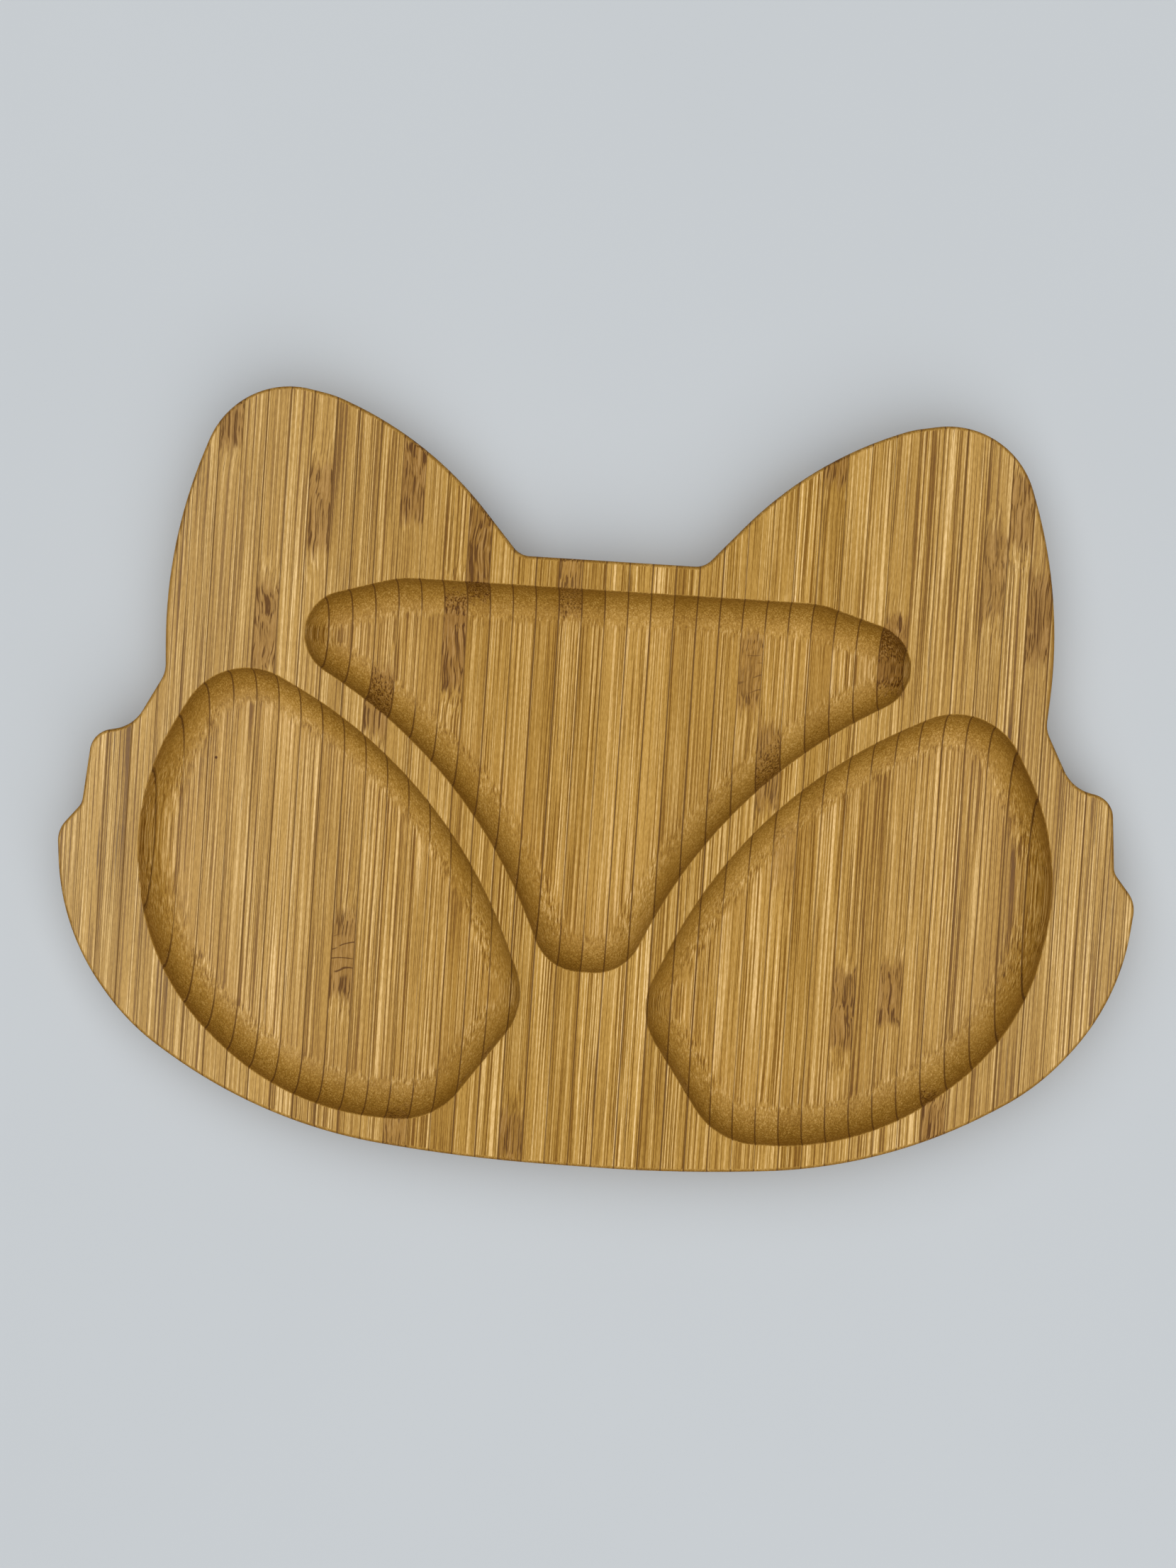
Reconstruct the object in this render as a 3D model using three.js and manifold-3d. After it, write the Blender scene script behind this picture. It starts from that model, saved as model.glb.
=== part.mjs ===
// Bamboo plate for a child: a board in the shape of an animal's head, with three food compartments.
// The board is laminated from bamboo strips that stand on edge side by side, run from chin to ears and are
// glued face to face. The head's outline and the compartments are routed through the glued strips, so each
// strip carries its own slice of the rim, walls, ridges and floors.
// Millimetres, +Z up. X runs across the head and Y from the chin to the ears. The origin is at the centre of
// the board's bounding box, on the underside.

import * as THREE from "three";
import { mergeVertices } from "three/addons/utils/BufferGeometryUtils.js";
import Module from "manifold-3d";

// Thickness of the board, from the underside up
const FLOOR_THICKNESS = 5.5; // bamboo left under a compartment
const COVE_RADIUS = 8.5; // quarter-round from a compartment's floor to its wall
const LIP_HEIGHT = 1.0; // upright wall between the cove and the rim
const EDGE_RADIUS = 1.0; // round on the board's outer edges

// Lamination
const STRIP_WIDTH = 5.29;
const GLUE_LINE = 0.1; // gap that the adhesive fills between two strips
const STRIP_SHIFT = 1.5; // from the head's centre line to the middle of the nearest strip

// Cutter that routes the compartments: a flat tip inside the round that leaves the cove
const CUTTER_TIP = 1.3;
const CUTTER_RADIUS = COVE_RADIUS + CUTTER_TIP;

// Head outline, right half, from the notch between the ears down to the chin.
// Each corner is where two straight edges would meet, x out from the centre line and y up from the chin,
// with the radius of the arc that rounds it.
const NOTCH = { x: 21.4, y: 140.45, radius: 5 };
const EAR_INNER_SIDE = { x: 43.8, y: 165.8, radius: 86.4 };
const EAR_TOP = { x: 66.75, y: 174.8, radius: 24.7 };
const EAR_TIP = { x: 89.65, y: 179.15, radius: 20.3 };
const EAR_OUTER_SIDE = { x: 104, y: 138.2, radius: 114.9 };
const EAR_ROOT = { x: 102.15, y: 108.15, radius: 6.9 };
const UPPER_TUFT_ROOT = { x: 108.95, y: 95.2, radius: 9.1 };
const UPPER_TUFT_TIP = { x: 118.4, y: 93.15, radius: 5.5 };
const LOWER_TUFT_ROOT = { x: 119.85, y: 76.4, radius: 4 };
const LOWER_TUFT_TIP = { x: 125.2, y: 69.85, radius: 6.75 };
const CHEEK = { x: 122.9, y: 46.6, radius: 54.7 };
const JAW = { x: 105.55, y: 25.5, radius: 55.2 };
const CHIN_SIDE = { x: 71.8, y: 4.55, radius: 119.3 };
const CHIN = { x: 23.4, y: 0, radius: 377 };

// Central compartment, right half, hung below the notch: y runs up from its straight top edge
const BROW_RIM = 7.05; // rim between the notch and the compartment
const BROW = { x: 48.7, y: 0, radius: 25.5 };
const LOBE = { x: 84.65, y: -10.8, radius: CUTTER_RADIUS };
const INNER_RIDGE = { x: 29.15, y: -43.05, radius: 118.5 };
const NOSE = { x: 8.8, y: -88, radius: 11.1 };

// Right side compartment, set above the chin: y runs up from its lowest edge
const CHIN_RIM = 8.2; // rim between the chin and the compartment
const SIDE_INNER = { x: 12.65, y: 28.65, radius: 15 };
const SIDE_RIDGE = { x: 35.4, y: 80.55, radius: 112.2 };
const SIDE_TOP = { x: 88.7, y: 107.15, radius: 16 };
const SIDE_CHEEK = { x: 108.45, y: 71.35, radius: 57.4 };
const SIDE_JAW = { x: 101, y: 29.75, radius: 55.1 };
const SIDE_LOWER = { x: 67.4, y: 0.5, radius: 61.4 };
const SIDE_FOOT = { x: 32.9, y: 0, radius: 17.25 };

// Fineness of the facets
const FACET_DEPTH = 0.08; // farthest that a facet strays from its arc
const SHORTEST_FACET = 0.2; // where two arcs meet, points closer than this are one
const EDGE_FACETS = 2;
const COVE_FACETS = 5;
const WELD_DISTANCE = 1e-4; // vertices of one solid closer than this are one
const SLICE_OVERSIZE = 2; // how many times the board's own size the slice for one strip reaches

// Bamboo tones that neighbouring strips take in turn, under a thin coat of oil
const BAMBOO_TONES = [0xb98f52, 0xc09a5e, 0xad8245, 0xbb9458, 0xb28849];
const BAMBOO_ROUGHNESS = 0.55;

const BOARD_THICKNESS = FLOOR_THICKNESS + COVE_RADIUS + LIP_HEIGHT;

// Corners of the left half, so that right half and left half make one closed outline
function mirrored(corners) {
  return corners.map((corner) => ({ ...corner, x: -corner.x })).reverse();
}

function raised(corners, height) {
  return corners.map((corner) => ({ ...corner, y: corner.y + height }));
}

// Points of the arc that rounds one corner, reached along the unit vector heading
function arcPoints(corner, heading, turn, reach, radius) {
  const start = corner.clone().addScaledVector(heading, -reach);
  const towardCentre = new THREE.Vector2(-heading.y, heading.x).multiplyScalar(Math.sign(turn));
  const centre = start.clone().addScaledVector(towardCentre, radius);
  const facetAngle = 2 * Math.acos(1 - FACET_DEPTH / radius);
  const facets = Math.ceil(Math.abs(turn) / facetAngle);
  const pointAt = (_, i) => start.clone().rotateAround(centre, (turn * i) / facets);
  return Array.from({ length: facets + 1 }, pointAt);
}

// Points of a closed outline of straight edges whose corners are rounded.
// Where two arcs would overrun the edge between them, both shrink to fit it.
function roundedOutline(corners) {
  const points = corners.map(({ x, y }) => new THREE.Vector2(x, y));
  const after = (i) => (i + 1) % points.length;
  const edges = points.map((point, i) => points[after(i)].clone().sub(point));
  const turns = edges.map((edge, i) => Math.atan2(edges.at(i - 1).cross(edge), edges.at(i - 1).dot(edge)));
  const reaches = corners.map(({ radius }, i) => radius * Math.tan(Math.abs(turns[i]) / 2));
  const room = edges.map((edge, i) => Math.min(1, edge.length() / (reaches[i] + reaches[after(i)])));
  const outline = points.flatMap((point, i) => {
    const fit = Math.min(room[i], room.at(i - 1));
    const heading = edges.at(i - 1).clone().normalize();
    return arcPoints(point, heading, turns[i], reaches[i] * fit, corners[i].radius * fit);
  });
  return outline.filter((point, i) => point.distanceTo(outline.at(i - 1)) > SHORTEST_FACET);
}

// Slab between two heights whose upper and lower edges are quarter-rounds inside the outline
function roundedSlab(corners, bottom, top, edgeRadius, edgeFacets) {
  const slab = new THREE.ExtrudeGeometry(new THREE.Shape(roundedOutline(corners)), {
    depth: top - bottom - 2 * edgeRadius,
    bevelThickness: edgeRadius,
    bevelSize: edgeRadius,
    bevelOffset: -edgeRadius,
    bevelSegments: edgeFacets,
  });
  return slab.translate(0, 0, bottom + edgeRadius);
}

// What the cutter takes out for one compartment: it rises past the rim by more than its own round,
// and leaves no corner tighter than itself
function compartmentCut(corners) {
  const routed = corners.map((corner) => ({ ...corner, radius: Math.max(corner.radius, CUTTER_RADIUS) }));
  const top = BOARD_THICKNESS + LIP_HEIGHT + COVE_RADIUS;
  return roundedSlab(routed, FLOOR_THICKNESS, top, COVE_RADIUS, COVE_FACETS);
}

const wasm = await Module();
wasm.setup();

function toSolid(geometry) {
  geometry.deleteAttribute("normal");
  geometry.deleteAttribute("uv");
  const welded = mergeVertices(geometry, WELD_DISTANCE);
  const mesh = new wasm.Mesh({
    numProp: 3,
    vertProperties: welded.attributes.position.array,
    triVerts: Uint32Array.from(welded.index.array),
  });
  return new wasm.Manifold(mesh);
}

function toGeometry(solid) {
  const { vertProperties, triVerts } = solid.getMesh();
  return new THREE.BufferGeometry()
    .setAttribute("position", new THREE.BufferAttribute(vertProperties, 3))
    .setIndex(new THREE.BufferAttribute(triVerts, 1));
}

// Board with its outline and compartments routed, before it is seen as strips
const headRight = [
  NOTCH,
  EAR_INNER_SIDE,
  EAR_TOP,
  EAR_TIP,
  EAR_OUTER_SIDE,
  EAR_ROOT,
  UPPER_TUFT_ROOT,
  UPPER_TUFT_TIP,
  LOWER_TUFT_ROOT,
  LOWER_TUFT_TIP,
  CHEEK,
  JAW,
  CHIN_SIDE,
  CHIN,
];
const centralRight = raised([BROW, LOBE, INNER_RIDGE, NOSE], NOTCH.y - BROW_RIM);
const sideRight = raised(
  [SIDE_INNER, SIDE_RIDGE, SIDE_TOP, SIDE_CHEEK, SIDE_JAW, SIDE_LOWER, SIDE_FOOT],
  CHIN_RIM,
);

const head = [...headRight, ...mirrored(headRight)];
const blank = roundedSlab(head, 0, BOARD_THICKNESS, EDGE_RADIUS, EDGE_FACETS);
blank.computeBoundingBox();
const { min: blankMin, max: blankMax } = blank.boundingBox;

const compartments = [[...centralRight, ...mirrored(centralRight)], sideRight, mirrored(sideRight)];
const board = compartments.reduce(
  (rest, corners) => rest.subtract(toSolid(compartmentCut(corners))),
  toSolid(blank),
);

// Slice of the board that one strip holds, as one solid for each separate piece of bamboo
function stripSolids(middle) {
  const length = SLICE_OVERSIZE * (blankMax.y - blankMin.y);
  const slice = new THREE.BoxGeometry(STRIP_WIDTH, length, SLICE_OVERSIZE * BOARD_THICKNESS);
  slice.translate(middle, (blankMin.y + blankMax.y) / 2, BOARD_THICKNESS / 2);
  return board.intersect(toSolid(slice)).decompose();
}

// Middles of the strips that reach further into the board than the round of its edge
function stripMiddles() {
  const pitch = STRIP_WIDTH + GLUE_LINE;
  const reach = blankMax.x - EDGE_RADIUS + STRIP_WIDTH / 2;
  const first = Math.ceil((-reach - STRIP_SHIFT) / pitch);
  const last = Math.floor((reach - STRIP_SHIFT) / pitch);
  return Array.from({ length: last - first + 1 }, (_, i) => STRIP_SHIFT + (first + i) * pitch);
}

function stripMesh(solid, name, tone) {
  const material = new THREE.MeshStandardMaterial({
    color: tone,
    roughness: BAMBOO_ROUGHNESS,
    metalness: 0,
    flatShading: true,
  });
  const mesh = new THREE.Mesh(toGeometry(solid), material);
  mesh.name = name;
  return mesh;
}

const strips = new THREE.Group();
strips.position.y = -(blankMin.y + blankMax.y) / 2;

stripMiddles().forEach((middle, index) => {
  const name = `bamboo_strip_${String(index + 1).padStart(2, "0")}`;
  const tone = BAMBOO_TONES[index % BAMBOO_TONES.length];
  stripSolids(middle).forEach((solid, piece) => {
    strips.add(stripMesh(solid, piece ? `${name}_piece_${piece + 1}` : name, tone));
  });
});

const plate = new THREE.Group();
plate.name = "bamboo_plate";
plate.add(strips);

export default plate;
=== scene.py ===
# Bamboo plate for a child: the dressed model, in metres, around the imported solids.
# The routed board is modelled once, finely, and cut at the glue faces that the solids give. Each slice
# takes the place of its strip, and one bamboo material runs through the whole board, with fibres along Y.

import math
import random
from collections import namedtuple

import bmesh
import bpy
from mathutils import Matrix, Vector


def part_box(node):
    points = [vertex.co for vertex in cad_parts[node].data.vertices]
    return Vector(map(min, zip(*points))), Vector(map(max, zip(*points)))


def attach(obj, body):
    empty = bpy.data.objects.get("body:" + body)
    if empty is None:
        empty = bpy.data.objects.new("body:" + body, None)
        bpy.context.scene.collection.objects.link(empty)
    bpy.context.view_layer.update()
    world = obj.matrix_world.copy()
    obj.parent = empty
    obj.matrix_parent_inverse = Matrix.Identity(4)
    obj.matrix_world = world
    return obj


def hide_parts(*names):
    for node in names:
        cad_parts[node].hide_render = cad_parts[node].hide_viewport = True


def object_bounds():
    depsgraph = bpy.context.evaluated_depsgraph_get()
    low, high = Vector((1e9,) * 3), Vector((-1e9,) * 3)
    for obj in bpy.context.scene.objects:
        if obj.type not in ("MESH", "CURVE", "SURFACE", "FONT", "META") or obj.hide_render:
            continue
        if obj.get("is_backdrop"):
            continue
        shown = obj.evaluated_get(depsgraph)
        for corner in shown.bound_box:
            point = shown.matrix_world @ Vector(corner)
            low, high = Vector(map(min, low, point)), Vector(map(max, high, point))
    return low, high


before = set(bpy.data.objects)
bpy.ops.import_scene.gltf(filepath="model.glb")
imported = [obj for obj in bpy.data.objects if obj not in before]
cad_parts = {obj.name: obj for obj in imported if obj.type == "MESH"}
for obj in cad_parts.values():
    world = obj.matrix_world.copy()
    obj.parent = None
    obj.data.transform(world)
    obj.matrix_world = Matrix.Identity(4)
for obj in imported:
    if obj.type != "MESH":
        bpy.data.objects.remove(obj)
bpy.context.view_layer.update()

MM = 0.001

# Heights of the routed board above its underside, and the rounds on its edges
FLOOR_THICKNESS = 5.5 * MM
COVE_RADIUS = 8.5 * MM
EDGE_RADIUS = 1.0 * MM
LIP_EASING = 0.4 * MM  # sanded round where a compartment's wall meets the rim

# Fineness of the mesh
FACET_DEPTH = 0.01 * MM  # farthest that a facet strays from its arc
EDGE_FACETS = 5
COVE_FACETS = 12
EASING_FACETS = 3
SHARP_ANGLE = math.radians(40)
FLAT_NORMAL = 0.99999  # faces whose normals rise this much lie flat

# Corners of an outline in millimetres, x from the head's centre line, each with the radius that rounds it
Corner = namedtuple("Corner", "x y radius")

# Head, right half, y up from the chin
HEAD_RIGHT = [
    Corner(21.4, 140.45, 5),  # notch between the ears
    Corner(43.8, 165.8, 86.4),  # inner side of the ear
    Corner(66.75, 174.8, 24.7),  # top of the ear
    Corner(89.65, 179.15, 20.3),  # tip of the ear
    Corner(104, 138.2, 114.9),  # outer side of the ear
    Corner(102.15, 108.15, 6.9),  # root of the ear
    Corner(108.95, 95.2, 9.1),  # root of the upper tuft
    Corner(118.4, 93.15, 5.5),  # tip of the upper tuft
    Corner(119.85, 76.4, 4),  # root of the lower tuft
    Corner(125.2, 69.85, 6.75),  # tip of the lower tuft
    Corner(122.9, 46.6, 54.7),  # cheek
    Corner(105.55, 25.5, 55.2),  # jaw
    Corner(71.8, 4.55, 119.3),  # side of the chin
    Corner(23.4, 0, 377),  # chin
]

# Central compartment, right half, y up from its straight top edge
CENTRAL_TOP = 133.4
CENTRAL_RIGHT = [
    Corner(48.7, 0, 25.5),  # brow
    Corner(84.65, -10.8, 9.8),  # lobe under the ear
    Corner(29.15, -43.05, 118.5),  # inner side of the ridge
    Corner(8.8, -88, 11.1),  # nose
]

# Right side compartment, y up from its lowest edge
SIDE_BOTTOM = 8.2
SIDE_RIGHT = [
    Corner(12.65, 28.65, 15),  # inner end
    Corner(35.4, 80.55, 112.2),  # outer side of the ridge
    Corner(88.7, 107.15, 16),  # top
    Corner(108.45, 71.35, 57.4),  # cheek
    Corner(101, 29.75, 55.1),  # jaw
    Corner(67.4, 0.5, 61.4),  # lower side
    Corner(32.9, 0, 17.25),  # foot
]

# Looks of single strips, counted from the left
PALE_STRIPS = (2, 4, 10, 24, 25, 26, 32, 39, 44, 45)
DARK_STRIPS = (3, 12, 18, 21, 23, 27, 33, 42, 43, 46)
TONE_CHANGE = 0.12  # of pale and dark strips
TONE_CHANCE = 0.045  # most that any strip's tone strays
# Painted sheen, a pale haze on level faces: none on this strip, growing towards both sides
SHEENLESS_STRIP = 26
SHEENLESS_REACH = 7  # strips each side of that one without painted sheen either
SHEEN_RISE_REACH = 20  # strips further out over which the painted sheen grows
PATTERN_RANGE = 100  # most that a strip's fibre pattern is shifted
PATTERN_SLANT = 1.7  # shift along the fibres for each one across them
STRIP_SEED = 7

# Brown knuckles where the culm had its joints, one on some of the strips: its middle along Y and its reach
# both ways in millimetres, its depth of colour and its share of cracks
Knuckle = namedtuple("Knuckle", "middle reach depth cracks", defaults=[0])
KNUCKLES = {
    7: Knuckle(79, 6, 0.8),
    9: Knuckle(32, 10, 0.8),
    11: Knuckle(60.5, 10, 0.8),
    13: Knuckle(-44, 10, 0.8, cracks=0.8),
    14: Knuckle(17, 8, 0.8),
    15: Knuckle(68, 9.5, 1.0),
    16: Knuckle(-83, 4.5, 0.7),
    17: Knuckle(32, 11, 1.0),
    18: Knuckle(53, 11, 0.9),
    21: Knuckle(-82, 5.5, 0.8),
    22: Knuckle(47, 8, 0.7),
    30: Knuckle(29, 9, 0.7, cracks=0.5),
    31: Knuckle(7, 10, 0.7),
    32: Knuckle(-13, 8, 0.4),
    33: Knuckle(78, 5, 0.8),
    35: Knuckle(-48.5, 9.5, 0.85),
    36: Knuckle(35, 8.5, 1.0),
    37: Knuckle(-44, 7, 0.85),
    39: Knuckle(-72, 6, 1.0),
    40: Knuckle(54.5, 10, 0.6),
    41: Knuckle(69.5, 8, 0.75),
    42: Knuckle(45, 10, 0.85),
}
NO_KNUCKLE = Knuckle(10000, 1, 0)  # far off the plate

# Grain of the bamboo: how wide and long its features are in millimetres, across and along the fibres
Grain = namedtuple("Grain", "across along detail", defaults=[2])
FIBRES = Grain(0.32, 70)
HAIRLINES = Grain(0.4, 30)
BANDS = Grain(2.2, 200)
LIVELY_PATCHES = Grain(9, 120)
MOTTLE = Grain(0.3, 1.5)
FIBRE_ENDS = Grain(0.7, 0.7)
FIBRE_DRIFT = Grain(13, 40, 1)
KNUCKLE_DRIFT = Grain(7, 12, 1)
KNUCKLE_ENDS = Grain(0.8, 8, 3)
STROKES = Grain(0.36, 20, 1)
CRACK_DRIFT = Grain(9, 5, 1)
CRACK_GAPS = Grain(8, 2, 1)

# Places and reaches of marks, in millimetres
FIBRE_SWAY = 0.2  # how far aside fibres drift
KNUCKLE_SWAY = 1.4  # how much further they do beside a knuckle
STROKE_SWAY = 1.2
RAGGED_REACH = 5  # how far the ends of a knuckle stray both ways
CRACK_SWAY = 5
CRACK_SPACING = 3
CRACK_RISE = 0.25  # for each millimetre across
PIT_SPACING = 15
EDGE_SHADE_HEIGHT = 14  # above the underside; painted shade darkens the rounded edges from here on

# Finish
RELIEF = 0.04 * MM  # of a fibre
STROKE_DEPTH = 1  # depths of hollows, counted in that relief
CRACK_DEPTH = 1.5
PIT_DEPTH = 3
GLOSS = 0.12  # of bamboo and glue under the coat of oil
GLUE_MOTTLE = 300  # blotches in a metre

# Smooth steps from low to high, while the value that they take goes from start to end
Step = namedtuple("Step", "start end low high", defaults=[0, 1])

# Steps on a face's tilt, which is zero when level
WALL_TILT = Step(math.radians(5), math.radians(80))
SHEEN_TILT = Step(0, math.radians(40), 1, 0)
EDGE_TILT = Step(math.radians(8), math.radians(30))
SHORT_OF_UPRIGHT = Step(math.radians(85), math.radians(60))
CUT_TILT = math.radians(40)  # a face tilted this far across the fibres shows their cut ends alone

# Steps on the share of cut fibre ends
WALL_ON_ENDS = Step(0, 1, 0.35, 1)
STREAKS_ON_ENDS = Step(0, 0.6, 1, 0.25)
STAIN_ON_ENDS = Step(0.1, 0.6, 0, 0.8)

# Steps on the distance past a knuckle's end or from its middle, in millimetres, or on the share of knuckle
KNUCKLE_END = Step(2, -2)
KNUCKLE_SURROUNDINGS = Step(8, 0)
CRACKED_MIDDLE = Step(5.5, 4)
STREAKS_ON_KNUCKLE = Step(0, 0.9, 1, 0.25)
STROKES_ON_KNUCKLE = Step(0.1, 0.9, 0, 0.85)

# Steps on noise
BAND_CHANGE = Step(0.3, 0.7, -0.06, 0.06)
BAND_ROUGHNESS = Step(0.3, 0.7, 0.46, 0.54)
MOTTLE_CHANGE = Step(0.3, 0.7, -0.14, 0.14)
LIVELINESS = Step(0.35, 0.65, 0.7, 1.15)
PALE_LINE = Step(0.53, 0.65)
DARK_LINE = Step(0.475, 0.36)
HAIRLINE = Step(0.33, 0.27, 0, 0.75)
PALE_STROKE = Step(0.56, 0.68, 0, 0.55)
DARK_STROKE = Step(0.48, 0.37)
UNBROKEN_CRACK = Step(0.44, 0.52)
CURL_CHANGE = Step(0, 0.14, -0.27, 0.18)
GLUE_ROUGHNESS = Step(0, 1, 0.45, 0.6)

# Steps on the distance from a mark's middle, or from a strip's edge, as a share of their spacing
CRACK_LINE = Step(0.08, 0.03)
STAIN_LINE = Step(0.045, 0.02)
PIT_ROUND = Step(0.03, 0.015)

# Steps on chance
STAIN_ON_STRIP = Step(0.2, 0.9, 0.15, 0.85)
CHOSEN_PIT = Step(0.7, 0.72)

# Camera at the photograph's angle, and its lens for a frame whose long side is the sensor's width
CAMERA_PLACE = Vector((14.66, 8.06, 511.0)) * MM
CAMERA_TILT_DEGREES = (-0.730, 1.9925, 3.826)
CAMERA_LENS = 49.31

# Light: a long soft lamp above, a little to the chin's side, and a faint even sky
LAMP_PLACE = Vector((0.05, -0.1, 1.4))
LAMP_WIDTH = 2.2
LAMP_LENGTH = 5.2
LAMP_POWER = 55
SKY_STRENGTH = 0.12

# Table, which turns into the backdrop as the distance from its middle grows
TABLE_SIZE = 8.0
TABLE_FADE = Step(0.5, 1.0)
TABLE_ROUGHNESS = 0.8
TABLE_MOTTLE = 9  # blotches in a metre


def srgb(red, green, blue):
    """A colour as it is seen, 0 to 255, as the linear colour that shaders take."""
    def linear(level):
        share = level / 255
        return share / 12.92 if share <= 0.04045 else ((share + 0.055) / 1.055) ** 2.4
    return (linear(red), linear(green), linear(blue), 1.0)


# Bamboo colours, and the tints that multiply them
PALE_BAMBOO = srgb(226, 186, 118)
MIDDLE_BAMBOO = srgb(180, 137, 61)
DEEP_BAMBOO = srgb(122, 80, 12)
HAIRLINE_BROWN = srgb(94, 56, 4)
CRACK_BROWN = srgb(80, 44, 8)
STROKE_BROWN = srgb(76, 40, 4)
STAIN_BROWN = srgb(92, 58, 20)
PIT_BROWN = srgb(84, 52, 26)
# partly the darker colour of cut fibre ends, partly painted shade on tilted walls
WALL_GRAIN_AND_SHADE_TINT = (0.69, 0.65, 0.45, 1)
# painted shade on the rounded edges of the top
EDGE_SHADE_TINT = (0.82, 0.79, 0.76, 1)
KNUCKLE_TINT = (0.68, 0.61, 0.56, 1)
PAINTED_SHEEN_HAZE = (0.05, 0.06, 0.058, 1)  # painted sheen: a pale haze added on level faces
CHANNEL_CHANGES = (0.8, 1.0, 1.8)  # how red, green and blue share a change of tone

# Other colours
PALE_GLUE = srgb(116, 80, 32)
DARK_GLUE = srgb(90, 58, 20)
TABLE_GREY = srgb(199, 204, 208)
TABLE_SHADE = srgb(195, 200, 204)


# Outlines

def mirrored(corners):
    return [corner._replace(x=-corner.x) for corner in reversed(corners)]


def raised(corners, height):
    return [corner._replace(y=corner.y + height) for corner in corners]


def rounded_outline(corners):
    """Points of a closed clockwise outline with arcs at its corners, and their outward directions."""
    points = [Vector((corner.x, corner.y)) * MM for corner in corners]
    after = [*range(1, len(points)), 0]
    edges = [points[after[i]] - points[i] for i in range(len(points))]
    edges_before = edges[-1:] + edges
    turns = [math.atan2(last.cross(edge), last.dot(edge)) for last, edge in zip(edges_before, edges)]
    reaches = [corner.radius * MM * math.tan(abs(turn) / 2) for corner, turn in zip(corners, turns)]
    room = [min(1, edge.length / (reaches[i] + reaches[after[i]])) for i, edge in enumerate(edges)]
    outline = []
    for i, corner in enumerate(corners):
        fit = min(room[i], room[i - 1])
        heading = edges[i - 1].normalized()
        start = points[i] - heading * reaches[i] * fit
        outline += arc(start, heading, turns[i], corner.radius * MM * fit)
    return outline


def arc(start, heading, turn, radius):
    """Points of one arc, which leaves start along heading, with their outward directions, to its left."""
    left = Vector((-heading.y, heading.x))
    bend = math.copysign(radius, turn)
    centre = start + left * bend
    facets = math.ceil(abs(turn) / (2 * math.acos(1 - FACET_DEPTH / radius)))
    outward = [Matrix.Rotation(turn * i / facets, 2) @ left for i in range(facets + 1)]
    return [(centre - direction * bend, direction) for direction in outward]


# Routed board

def quarter_round(radius, facets):
    """Steps of a quarter-round: how far in and how far down it has come, from upright to level."""
    angles = [math.pi / 2 * i / facets for i in range(facets + 1)]
    return [(radius * (1 - math.cos(angle)), radius * math.sin(angle)) for angle in angles]


def head_profile(thickness):
    """Outset and height of each ring round the head, from its top face down to its underside."""
    edge = quarter_round(EDGE_RADIUS, EDGE_FACETS)
    upper = [(-inset, thickness - EDGE_RADIUS + rise) for inset, rise in reversed(edge)]
    lower = [(-inset, EDGE_RADIUS - drop) for inset, drop in edge]
    return upper + lower


def compartment_profile(thickness):
    """Outset and height of each ring round a compartment, from the rim down to its floor."""
    easing = quarter_round(LIP_EASING, EASING_FACETS)
    lip = [(inset, thickness - LIP_EASING + rise) for inset, rise in reversed(easing)]
    cove_top = FLOOR_THICKNESS + COVE_RADIUS
    cove = [(-inset, cove_top - drop) for inset, drop in quarter_round(COVE_RADIUS, COVE_FACETS)]
    return lip + cove


def wall(board, outline, profile):
    """Skins the rings of a profile round an outline and returns the edges of its first and last ring."""
    rings = [
        [board.verts.new((*(point + outward * outset), height)) for point, outward in outline]
        for outset, height in profile
    ]
    for upper, lower in zip(rings, rings[1:]):
        for i in range(len(outline)):
            board.faces.new((upper[i - 1], upper[i], lower[i], lower[i - 1]))
    ends = (rings[0], rings[-1])
    return [[board.edges.get((ring[i - 1], ring[i])) for i in range(len(outline))] for ring in ends]


def routed_board(thickness):
    """The whole board with its outline and compartments, as one closed mesh."""
    head = rounded_outline(HEAD_RIGHT + mirrored(HEAD_RIGHT))
    central_right = raised(CENTRAL_RIGHT, CENTRAL_TOP)
    side_right = raised(SIDE_RIGHT, SIDE_BOTTOM)
    compartments = [central_right + mirrored(central_right), side_right, mirrored(side_right)]

    board = bmesh.new()
    rim, underside = wall(board, head, head_profile(thickness))
    bmesh.ops.triangle_fill(board, use_beauty=True, edges=underside)
    for corners in compartments:
        lip, floor = wall(board, rounded_outline(corners), compartment_profile(thickness))
        bmesh.ops.triangle_fill(board, use_beauty=True, edges=floor)
        rim += lip
    bmesh.ops.triangle_fill(board, use_beauty=True, edges=rim)
    bmesh.ops.recalc_face_normals(board, faces=board.faces)
    return board


def fit_to_box(board, low, high):
    """Brings the board, drawn up from the chin, to the place and size of the solids' box in X and Y."""
    for axis in (0, 1):
        places = [vert.co[axis] for vert in board.verts]
        start = min(places)
        scale = (high[axis] - low[axis]) / (max(places) - start)
        for vert in board.verts:
            vert.co[axis] = low[axis] + (vert.co[axis] - start) * scale


def cut_off_left(board, place):
    """Takes what lies left of an upright plane off the board and returns it, both closed at the cut."""
    left = board.copy()
    for part, side in ((left, 1), (board, -1)):
        cut = bmesh.ops.bisect_plane(
            part,
            geom=[*part.verts, *part.edges, *part.faces],
            plane_co=(place, 0, 0),
            plane_no=(side, 0, 0),
            clear_outer=True,
        )
        open_edges = [item for item in cut["geom_cut"] if isinstance(item, bmesh.types.BMEdge)]
        bmesh.ops.holes_fill(part, edges=open_edges)
    return left


def join_flat_faces(part):
    """Joins the triangles that fill flat faces."""
    flat = [
        edge
        for edge in part.edges
        if len(edge.link_faces) == 2 and all(abs(face.normal.z) > FLAT_NORMAL for face in edge.link_faces)
    ]
    bmesh.ops.dissolve_edges(part, edges=flat, use_verts=False)


# Pieces

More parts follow.
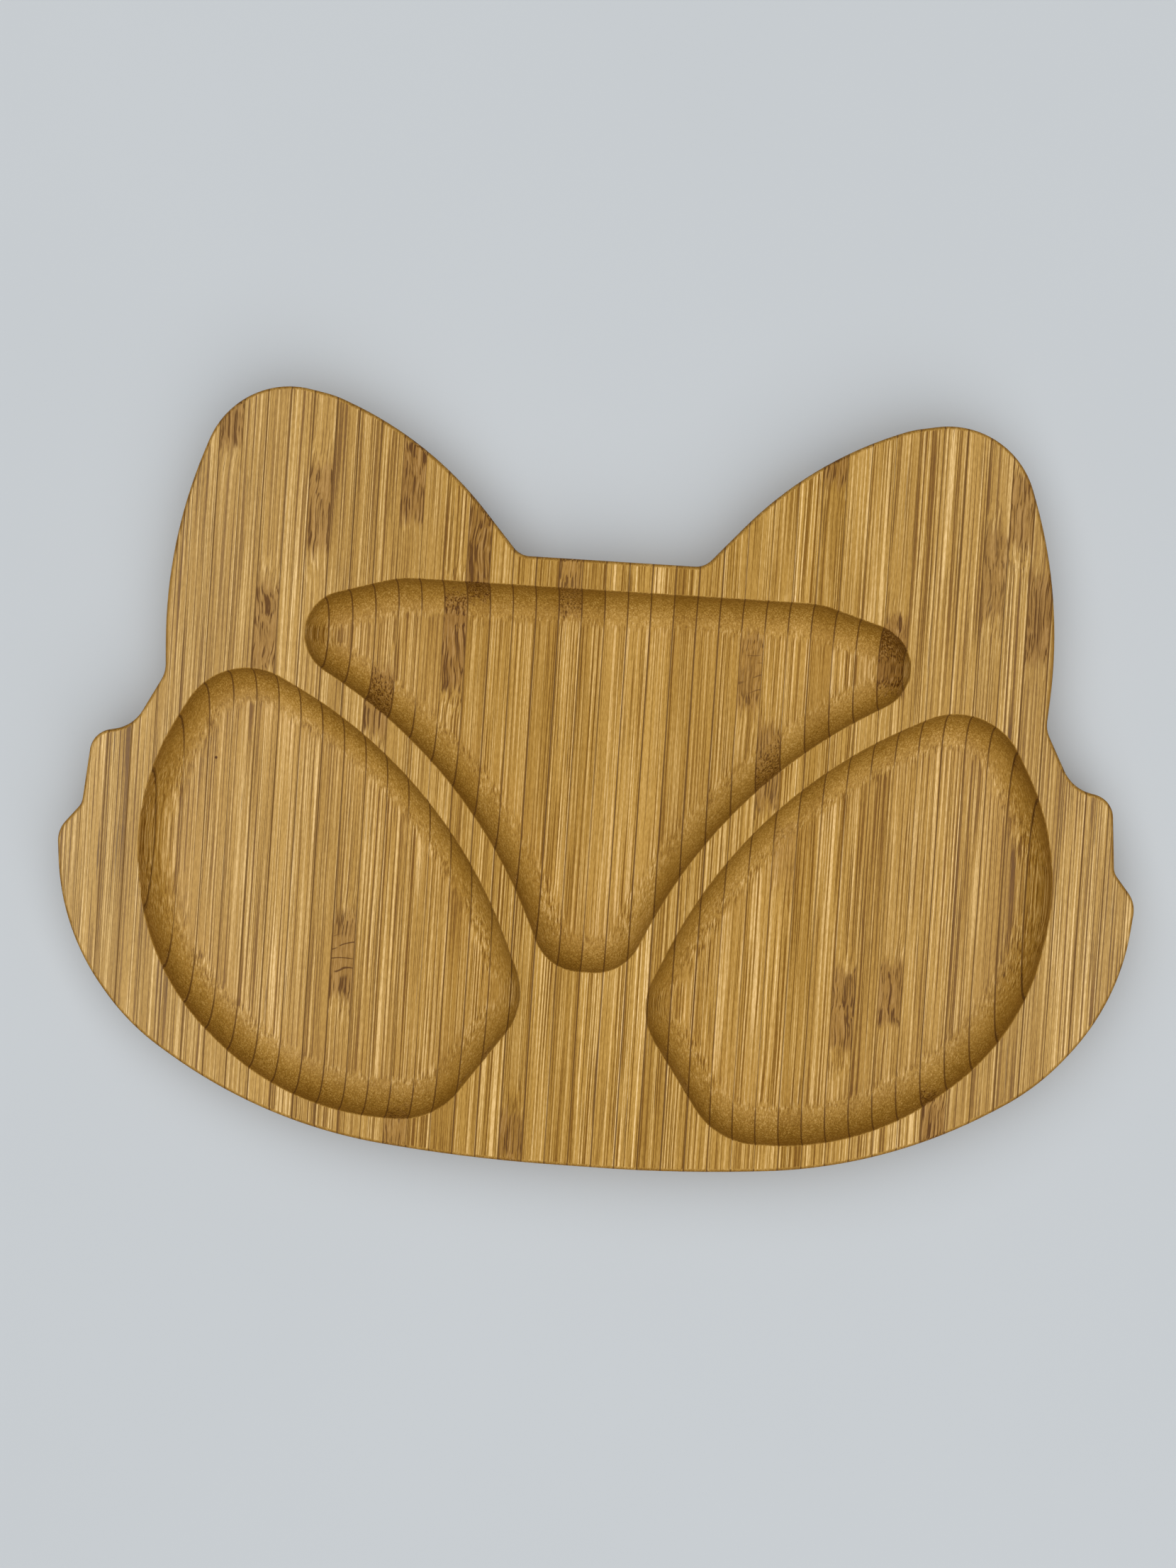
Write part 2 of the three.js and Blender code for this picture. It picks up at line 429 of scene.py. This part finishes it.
def piece_from(parts, name, material):
    """One shown piece from closed meshes, with smooth rounds and sharp glue faces, riding on the plate."""
    data = bpy.data.meshes.new(name)
    joined = bmesh.new()
    for part in parts:
        join_flat_faces(part)
        part.to_mesh(data)
        part.free()
        joined.from_mesh(data)
    joined.to_mesh(data)
    joined.free()
    data.shade_smooth()
    data.set_sharp_from_angle(angle=SHARP_ANGLE)
    data.materials.append(material)
    piece = bpy.data.objects.new(name, data)
    bpy.context.scene.collection.objects.link(piece)
    normals = piece.modifiers.new("even_normals", "WEIGHTED_NORMAL")
    normals.keep_sharp = True
    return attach(piece, "root")


def mark(piece, name, value):
    """Gives a whole piece one value that its material reads by name."""
    attribute = piece.data.attributes.new(name, "FLOAT", "POINT")
    attribute.data.foreach_set("value", [value] * len(piece.data.vertices))


def mark_strip(piece, number, chance):
    """Tone, share of painted sheen and fibre pattern of a strip, and its knuckle."""
    paler = (number in PALE_STRIPS) - (number in DARK_STRIPS)
    mark(piece, "tone", chance.uniform(-TONE_CHANCE, TONE_CHANCE) + TONE_CHANGE * paler)
    mark(piece, "sheen_share", max(0, abs(number - SHEENLESS_STRIP) - SHEENLESS_REACH) / SHEEN_RISE_REACH)
    mark(piece, "pattern", chance.uniform(0, PATTERN_RANGE))
    for name, value in KNUCKLES.get(number, NO_KNUCKLE)._asdict().items():
        mark(piece, f"knuckle_{name}", value)


def make_strips(bamboo, glue):
    """Cuts the board at the solids' glue faces into strips and the glue lines between them."""
    low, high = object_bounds()
    board = routed_board(high.z)
    fit_to_box(board, low, high)
    chance = random.Random(STRIP_SEED)
    nodes = sorted(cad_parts)
    boxes = [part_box(node) for node in nodes]
    glue_slices = []
    strips = []
    for (_, strip_high), (next_low, _) in zip(boxes, boxes[1:]):
        strips.append(cut_off_left(board, strip_high.x))
        glue_slices.append(cut_off_left(board, next_low.x))
    strips.append(board)
    for number, (node, part) in enumerate(zip(nodes, strips), 1):
        strip = piece_from([part], f"strip_{number:02}", bamboo)
        mark_strip(strip, number, chance)
        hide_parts(node)
    piece_from(glue_slices, "glue_lines", glue)


# Materials

class Nodes:
    """A node tree, with short names for the nodes that it takes."""

    def __init__(self, tree):
        self.tree = tree

    def feed(self, socket, value):
        if isinstance(value, bpy.types.NodeSocket):
            self.tree.links.new(value, socket)
        else:
            socket.default_value = value

    def node(self, kind, *values, **settings):
        """A new node with its settings, and values or links for its first inputs."""
        node = self.tree.nodes.new(f"ShaderNode{kind}")
        for name, setting in settings.items():
            setattr(node, name, setting)
        for socket, value in zip(node.inputs, values):
            self.feed(socket, value)
        return node

    def math(self, operation, *values):
        return self.node("Math", *values, operation=operation).outputs[0]

    def product(self, first, *others):
        for other in others:
            first = self.math("MULTIPLY", first, other)
        return first

    def vector(self, operation, *values):
        return self.node("VectorMath", *values, operation=operation).outputs["Vector"]

    def parts(self, vector):
        return self.node("SeparateXYZ", vector).outputs

    def combine(self, x, y, z):
        return self.node("CombineXYZ", x, y, z).outputs[0]

    def attribute(self, name):
        return self.node("Attribute", attribute_name=name).outputs["Fac"]

    def noise(self, place, detail=2):
        node = self.node("TexNoise", place)
        node.inputs["Scale"].default_value = 1
        node.inputs["Detail"].default_value = detail
        return node.outputs

    def ramp(self, value, step):
        return self.node("MapRange", value, *step, interpolation_type="SMOOTHSTEP").outputs[0]

    def mix(self, share, first, second, blend="MIX"):
        node = self.node("Mix", share, data_type="RGBA", blend_type=blend)
        sockets = {socket.identifier: socket for socket in [*node.inputs, *node.outputs]}
        self.feed(sockets["A_Color"], first)
        self.feed(sockets["B_Color"], second)
        return sockets["Result_Color"]

    def seen(self):
        """One for what the camera sees, straight or by way of gloss and glass, and none for other light."""
        ways = self.node("LightPath").outputs
        mirrored_or_through = self.math("MAXIMUM", ways["Is Glossy Ray"], ways["Is Transmission Ray"])
        return self.math("MAXIMUM", ways["Is Camera Ray"], mirrored_or_through)


class Material(Nodes):
    """A material of one surface shader, with the coordinates of the piece that wears it."""

    def __init__(self, name):
        self.material = bpy.data.materials.new(name)
        self.material.use_nodes = True
        super().__init__(self.material.node_tree)
        self.surface = self.tree.nodes["Principled BSDF"]
        self.coordinates = self.node("TexCoord").outputs

    def set(self, name, value):
        self.feed(self.surface.inputs[name], value)


class Bamboo(Material):
    """Oiled bamboo, measured in millimetres. Fibres run along Y through the whole strip, so level faces
    show streaks and walls across the fibres show cut ends. Each strip has its own tone and pattern."""

    def __init__(self, pitch, first_edge):
        super().__init__("oiled_bamboo")
        self.place = self.vector("DIVIDE", self.coordinates["Object"], (MM, MM, MM))
        self.x, self.y, self.z = self.parts(self.place)
        self.read_strip()
        self.read_slope()
        self.find_knuckle()
        self.find_fibres()
        self.find_strokes()
        self.find_cracks()
        self.find_pits()
        stain = self.glue_stain(pitch, first_edge)
        self.set("Base Color", self.marked(self.plain_wood(), stain))
        self.set("Roughness", self.ramp(self.bands, BAND_ROUGHNESS))
        self.set("Specular IOR Level", GLOSS)
        self.set("Normal", self.relief())

    def read_strip(self):
        """What the strip's own values say: its tone, its share of painted sheen, and where its pattern
        begins.
        """
        self.tone = self.attribute("tone")
        self.sheen_share = self.attribute("sheen_share")
        pattern = self.attribute("pattern")
        along = self.math("MULTIPLY", pattern, PATTERN_SLANT)
        self.own_pattern = self.combine(pattern, along, pattern)
        self.own_chance = self.math("FRACT", pattern)

    def read_slope(self):
        """Shares of cut fibre ends, of wall (darker end grain and painted shade), of painted shade on the
        rounded edges, and of painted sheen, a pale haze which only level faces have.
        """
        _, along, rise = self.parts(self.coordinates["Normal"])
        tilt = self.math("ARCCOSINE", self.math("MINIMUM", self.math("ABSOLUTE", rise), 1))
        cut = self.math("DIVIDE", self.math("ABSOLUTE", along), math.sin(CUT_TILT))
        self.cut_ends = self.math("MINIMUM", cut, 1)
        # Share of wall: darker cut ends, and painted shade that grows with the face's tilt
        self.wall = self.product(self.ramp(tilt, WALL_TILT), self.ramp(self.cut_ends, WALL_ON_ENDS))
        # Painted shade on the rounded edges near the top, between level and upright
        turned = self.product(self.ramp(tilt, EDGE_TILT), self.ramp(tilt, SHORT_OF_UPRIGHT))
        self.painted_edge_shade = self.product(turned, self.math("GREATER_THAN", self.z, EDGE_SHADE_HEIGHT))
        # painted sheen: a pale haze on level faces of the outer strips
        self.painted_sheen = self.product(self.sheen_share, self.ramp(tilt, SHEEN_TILT))

    def find_knuckle(self):
        """Shares of knuckle, a band across the strip with ragged ends, its surroundings and its cracks."""
        self.past_middle = self.math("SUBTRACT", self.y, self.attribute("knuckle_middle"))
        from_middle = self.math("ABSOLUTE", self.past_middle)
        ends = self.grain(self.place, KNUCKLE_ENDS)
        ragged = self.math("MULTIPLY_ADD", ends, 2 * RAGGED_REACH, -RAGGED_REACH)
        distance = self.math("ADD", from_middle, ragged)
        past_end = self.math("SUBTRACT", distance, self.attribute("knuckle_reach"))
        depth = self.attribute("knuckle_depth")
        self.knuckle = self.product(self.ramp(past_end, KNUCKLE_END), depth)
        self.near_knuckle = self.product(self.ramp(past_end, KNUCKLE_SURROUNDINGS), depth)
        near_middle = self.ramp(from_middle, CRACKED_MIDDLE)
        self.cracked = self.product(near_middle, self.attribute("knuckle_cracks"))

    def in_pattern(self, place, grain):
        """A place counted in features of a grain, in the strip's own pattern."""
        counted = self.vector("DIVIDE", place, (grain.across, grain.along, grain.across))
        return self.vector("ADD", counted, self.own_pattern)

    def grain(self, place, grain):
        return self.noise(self.in_pattern(place, grain), grain.detail)["Fac"]

    def swayed(self, grain, reach):
        """The place that a fibre comes from, up to reach aside."""
        drift = self.noise(self.in_pattern(self.place, grain), grain.detail)["Color"]
        aside = self.vector("MULTIPLY_ADD", drift, (2, 0, 2), (-1, 0, -1))
        return self.vector("MULTIPLY_ADD", aside, self.combine(reach, reach, reach), self.place)

    def share_of(self, place, spacing):
        """How far a place has come through the spacing that it lies in, from 0 to 1."""
        return self.math("FRACT", self.math("DIVIDE", place, spacing))

    def from_half(self, share):
        return self.math("ABSOLUTE", self.math("SUBTRACT", share, 0.5))

    def find_fibres(self):
        """Fibres with their bands, and shares of lines along them, calmer on cut ends and knuckles."""
        sway = self.math("MULTIPLY_ADD", self.near_knuckle, KNUCKLE_SWAY, FIBRE_SWAY)
        self.fibres = self.swayed(FIBRE_DRIFT, sway)
        self.bands = self.grain(self.fibres, BANDS)
        lively = self.ramp(self.grain(self.place, LIVELY_PATCHES), LIVELINESS)
        on_ends = self.ramp(self.cut_ends, STREAKS_ON_ENDS)
        share = self.product(lively, on_ends, self.ramp(self.knuckle, STREAKS_ON_KNUCKLE))
        fibre = self.grain(self.fibres, FIBRES)
        self.pale_lines = self.product(self.ramp(fibre, PALE_LINE), share)
        self.dark_lines = self.product(self.ramp(fibre, DARK_LINE), share)
        self.hairlines = self.product(self.ramp(self.grain(self.fibres, HAIRLINES), HAIRLINE), share)

    def find_strokes(self):
        """Shares of pale and dark tapered strokes along a knuckle."""
        wave = self.grain(self.swayed(KNUCKLE_DRIFT, STROKE_SWAY), STROKES)
        self.pale_strokes = self.product(self.ramp(wave, PALE_STROKE), self.knuckle)
        whole = self.math("SUBTRACT", 1, self.cracked)
        on_knuckle = self.ramp(self.knuckle, STROKES_ON_KNUCKLE)
        self.dark_strokes = self.product(self.ramp(wave, DARK_STROKE), on_knuckle, whole)

    def find_cracks(self):
        """Share of short cracks that slant across the middle of some knuckles."""
        slanted = self.math("MULTIPLY_ADD", self.x, -CRACK_RISE, self.past_middle)
        uneven = self.math("MULTIPLY_ADD", self.grain(self.place, CRACK_DRIFT), CRACK_SWAY, slanted)
        from_crack = self.from_half(self.share_of(uneven, CRACK_SPACING))
        unbroken = self.ramp(self.grain(self.place, CRACK_GAPS), UNBROKEN_CRACK)
        self.crack_lines = self.product(self.ramp(from_crack, CRACK_LINE), unbroken, self.cracked)

    def find_pits(self):
        """Share of pits, which are few, small and dark."""
        cells = self.node("TexVoronoi", self.vector("DIVIDE", self.place, (PIT_SPACING,) * 3))
        cells.inputs["Scale"].default_value = 1
        chosen = self.ramp(self.parts(cells.outputs["Color"])[0], CHOSEN_PIT)
        self.pits = self.product(self.ramp(cells.outputs["Distance"], PIT_ROUND), chosen)

    def glue_stain(self, pitch, first_edge):
        """Share of stain along both glue faces, strong on cut ends, and elsewhere on some strips."""
        across = self.share_of(self.math("SUBTRACT", self.x, first_edge), pitch)
        from_edge = self.math("SUBTRACT", 0.5, self.from_half(across))
        on_ends = self.ramp(self.cut_ends, STAIN_ON_ENDS)
        strength = self.math("MAXIMUM", on_ends, self.ramp(self.own_chance, STAIN_ON_STRIP))
        return self.product(self.ramp(from_edge, STAIN_LINE), strength)

    def fibre_ends(self):
        """Change of tone on a face across the fibres, whose cut ends make fine curls."""
        return self.ramp(self.from_half(self.grain(self.place, FIBRE_ENDS)), CURL_CHANGE)

    def varied(self, colour, change):
        """A colour made paler, or deeper where change is negative."""
        changes = self.combine(change, change, change)
        factors = self.vector("MULTIPLY_ADD", changes, CHANNEL_CHANGES, (1, 1, 1))
        return self.mix(1, colour, factors, "MULTIPLY")

    def tinted(self, colour, tint):
        return self.mix(1, colour, tint, "MULTIPLY")

    def plain_wood(self):
        """Colour of the bamboo without its knuckles, stains and pits."""
        colour = self.mix(self.pale_lines, MIDDLE_BAMBOO, PALE_BAMBOO)
        colour = self.mix(self.dark_lines, colour, DEEP_BAMBOO)
        colour = self.mix(self.hairlines, colour, HAIRLINE_BROWN)
        colour = self.varied(colour, self.ramp(self.bands, BAND_CHANGE))
        colour = self.varied(colour, self.ramp(self.grain(self.fibres, MOTTLE), MOTTLE_CHANGE))
        colour = self.varied(colour, self.tone)
        # painted sheen added as a pale haze
        colour = self.mix(self.painted_sheen, colour, PAINTED_SHEEN_HAZE, "ADD")
        colour = self.mix(self.cut_ends, colour, self.varied(colour, self.fibre_ends()))
        # darker cut ends and painted shade on the walls
        colour = self.mix(self.wall, colour, self.tinted(colour, WALL_GRAIN_AND_SHADE_TINT))
        # painted shade on the rounded top edges
        return self.mix(self.painted_edge_shade, colour, self.tinted(colour, EDGE_SHADE_TINT))

    def marked(self, colour, stain):
        """The wood's colour with its knuckles, stains and pits."""
        colour = self.mix(self.knuckle, colour, self.tinted(colour, KNUCKLE_TINT))
        colour = self.mix(self.pale_strokes, colour, self.tinted(PALE_BAMBOO, KNUCKLE_TINT))
        colour = self.mix(self.dark_strokes, colour, STROKE_BROWN)
        colour = self.mix(self.crack_lines, colour, CRACK_BROWN)
        colour = self.mix(stain, colour, STAIN_BROWN)
        return self.mix(self.pits, colour, PIT_BROWN)

    def relief(self):
        """Normals of fibres that stand out and of marks that are hollow."""
        hollows = [
            (self.dark_strokes, STROKE_DEPTH),
            (self.crack_lines, CRACK_DEPTH),
            (self.pits, PIT_DEPTH),
        ]
        height = self.math("SUBTRACT", self.pale_lines, self.dark_lines)
        for hollow, depth in hollows:
            height = self.math("SUBTRACT", height, self.math("MULTIPLY", hollow, depth))
        bump = self.node("Bump")
        bump.inputs["Distance"].default_value = RELIEF
        self.feed(bump.inputs["Height"], height)
        return bump.outputs[0]


def glue_material():
    """Set glue, brown with a slight mottle."""
    glue = Material("set_glue")
    place = glue.vector("MULTIPLY", glue.coordinates["Object"], (GLUE_MOTTLE,) * 3)
    mottle = glue.noise(place)["Fac"]
    glue.set("Base Color", glue.mix(mottle, DARK_GLUE, PALE_GLUE))
    glue.set("Roughness", glue.ramp(mottle, GLUE_ROUGHNESS))
    glue.set("Specular IOR Level", GLOSS)
    return glue.material


def table_material():
    """Pale matt table, which turns into the backdrop further away."""
    table = Material("pale_table")
    place = table.coordinates["Object"]
    mottle = table.noise(table.vector("MULTIPLY", place, (TABLE_MOTTLE,) * 3), detail=4)["Fac"]
    table.set("Base Color", table.mix(mottle, TABLE_GREY, TABLE_SHADE))
    table.set("Roughness", TABLE_ROUGHNESS)
    distance = table.node("VectorMath", place, operation="LENGTH").outputs["Value"]
    far = table.product(table.ramp(distance, TABLE_FADE), table.seen())
    backdrop = table.node("Emission", TABLE_GREY).outputs[0]
    faded = table.node("MixShader", far, table.surface.outputs[0], backdrop)
    table.feed(table.tree.nodes["Material Output"].inputs["Surface"], faded.outputs[0])
    return table.material


# Stage

def make_table():
    data = bpy.data.meshes.new("table")
    half = TABLE_SIZE / 2
    corners = [(-half, -half, 0), (half, -half, 0), (half, half, 0), (-half, half, 0)]
    data.from_pydata(corners, [], [(0, 1, 2, 3)])
    data.materials.append(table_material())
    table = bpy.data.objects.new("table", data)
    bpy.context.scene.collection.objects.link(table)
    table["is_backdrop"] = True


def make_lamp():
    data = bpy.data.lights.new("soft_lamp", "AREA")
    data.shape = "RECTANGLE"
    data.size = LAMP_WIDTH
    data.size_y = LAMP_LENGTH
    data.energy = LAMP_POWER
    lamp = bpy.data.objects.new("soft_lamp", data)
    lamp.location = LAMP_PLACE
    lamp.rotation_mode = "QUATERNION"
    lamp.rotation_quaternion = (-LAMP_PLACE).to_track_quat("-Z", "Y")
    bpy.context.scene.collection.objects.link(lamp)


def make_sky():
    """Faint even light from all round, with a pale backdrop where the camera sees past the table."""
    world = bpy.data.worlds.new("even_sky")
    world.use_nodes = True
    sky = Nodes(world.node_tree)
    light = world.node_tree.nodes["Background"]
    light.inputs["Color"].default_value = (1, 1, 1, 1)
    light.inputs["Strength"].default_value = SKY_STRENGTH
    backdrop = sky.node("Background", TABLE_GREY)
    shown = sky.node("MixShader", sky.seen(), light.outputs[0], backdrop.outputs[0])
    sky.feed(world.node_tree.nodes["World Output"].inputs["Surface"], shown.outputs[0])
    bpy.context.scene.world = world


def make_camera():
    data = bpy.data.cameras.new("photo_camera")
    data.lens = CAMERA_LENS
    camera = bpy.data.objects.new("photo_camera", data)
    camera.location = CAMERA_PLACE
    camera.rotation_mode = "YXZ"
    camera.rotation_euler = [math.radians(angle) for angle in CAMERA_TILT_DEGREES]
    bpy.context.scene.collection.objects.link(camera)
    bpy.context.scene.camera = camera


bpy.context.scene.view_settings.view_transform = "Standard"
make_camera()
make_lamp()
make_sky()
make_table()

second_low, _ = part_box("bamboo_strip_02")
third_low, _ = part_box("bamboo_strip_03")
strip_pitch = third_low.x - second_low.x
make_strips(Bamboo(strip_pitch / MM, second_low.x / MM).material, glue_material())
